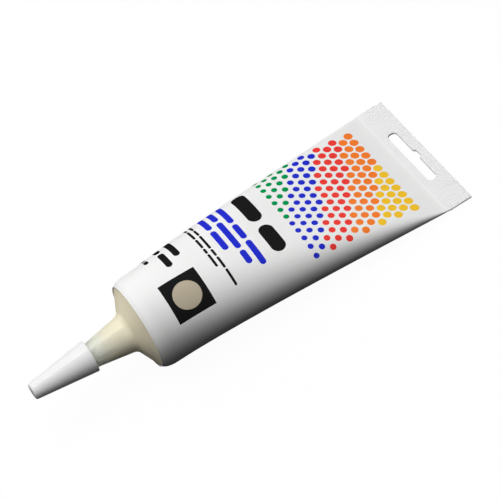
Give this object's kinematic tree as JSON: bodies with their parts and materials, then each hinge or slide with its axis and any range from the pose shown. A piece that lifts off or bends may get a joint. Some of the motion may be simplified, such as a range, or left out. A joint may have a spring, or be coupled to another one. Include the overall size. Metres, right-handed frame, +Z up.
{
  "type": "putty squeeze tube",
  "caption": "Soft plastic squeeze tube of putty: a round sleeve flattened to a ribbed tail crimp with a hang slot, a moulded tapered nozzle and a push-on conical cap.",
  "frame": {"origin": "on the surface that the tube lies on, under the middle of its length and width", "axes": "+X along the tube from the cap to the tail crimp, +Z up, out of the label side"},
  "size_m": [0.192, 0.067, 0.0413],
  "materials": {
    "white_sleeve": "smooth satin film with a printed label",
    "cream_head": "smooth, slightly see-through moulding that shows the putty behind it",
    "putty": "matt paste",
    "white_cap": "smooth gloss moulding"
  },
  "bodies": {
    "tube": {"tube_sleeve": "white_sleeve", "nozzle_head": "cream_head", "putty_fill": "putty"},
    "cap": {"nozzle_cap": "white_cap"}
  },
  "joints": [
    {"name": "cap_pull", "type": "slide", "parent": "tube", "child": "cap", "axis": [-0.9892, 0, 0.1469], "range_m": [0, 0.04]}
  ]
}
